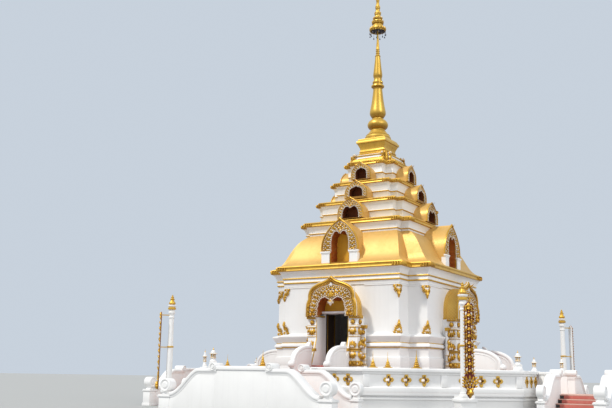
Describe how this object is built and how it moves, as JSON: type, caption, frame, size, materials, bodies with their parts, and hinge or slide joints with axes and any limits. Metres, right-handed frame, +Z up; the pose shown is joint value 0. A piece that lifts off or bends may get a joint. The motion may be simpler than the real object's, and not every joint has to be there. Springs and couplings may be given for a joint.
{
  "type": "temple pagoda on a terrace",
  "caption": "White and gold tiered temple pagoda with a tall ringed spire, vaulted porches, an octagonal parapet terrace, paired side stairs and banner poles.",
  "frame": {"origin": "on the ground, under the middle of the building and its spire", "axes": "-Y out of the front doorway, +X to the right of a person facing the front, +Z up the spire"},
  "size_m": [22.03, 22.03, 21.2012],
  "materials": {
    "white_plaster": "lime-white painted cement plaster, matt, with soft weather staining",
    "gold_paint": "satin gold paint on cement render",
    "gilded_relief": "gold-painted moulded relief with dark recesses",
    "red_tread": "red painted cement, worn matt",
    "dark_wood": "dark brown lacquered timber with gold lines",
    "banner_board": "red-brown board under gilded carved work"
  },
  "bodies": {
    "building": {"terrace_platform": "white_plaster", "stair_front": "white_plaster", "stair_wall_front": "white_plaster", "porch_front": "gilded_relief", "porch_steps_front": "red_tread", "stair_right": "white_plaster", "stair_wall_right": "white_plaster", "porch_right": "gilded_relief", "porch_steps_right": "red_tread", "stair_back": "white_plaster", "stair_wall_back": "white_plaster", "porch_back": "gilded_relief", "porch_steps_back": "red_tread", "stair_left": "white_plaster", "stair_wall_left": "white_plaster", "porch_left": "gilded_relief", "porch_steps_left": "red_tread", "parapet_front_right": "white_plaster", "wall_front_right": "white_plaster", "pole_front_right": "white_plaster", "banner_front_right": "banner_board", "parapet_back_right": "white_plaster", "wall_back_right": "white_plaster", "pole_back_right": "white_plaster", "banner_back_right": "banner_board", "parapet_back_left": "white_plaster", "wall_back_left": "white_plaster", "pole_back_left": "white_plaster", "banner_back_left": "banner_board", "parapet_front_left": "white_plaster", "wall_front_left": "white_plaster", "pole_front_left": "white_plaster", "banner_front_left": "banner_board", "building_plinth": "white_plaster", "doors_right": "dark_wood", "doors_back": "dark_wood", "doors_left": "dark_wood", "cornice": "white_plaster", "lower_roof": "gold_paint", "second_eave": "gold_paint", "third_tier": "gold_paint", "fourth_tier": "gold_paint", "fifth_tier": "gold_paint", "throne": "gold_paint", "spire_bell": "gold_paint", "spire_vase": "gold_paint", "spire_rings": "gold_paint", "spire_parasol": "gold_paint"},
    "leaf_left": {"door_leaf_left": "dark_wood"},
    "leaf_right": {"door_leaf_right": "dark_wood"}
  },
  "joints": [
    {"name": "left_door_hinge", "type": "hinge", "parent": "building", "child": "leaf_left", "pos_m": [-0.717, -3.575, 2.012], "axis": [0, 0, 1], "range_deg": [-90, 0]},
    {"name": "right_door_hinge", "type": "hinge", "parent": "building", "child": "leaf_right", "pos_m": [0.717, -3.575, 2.012], "axis": [0, 0, -1], "range_deg": [-90, 0]}
  ]
}
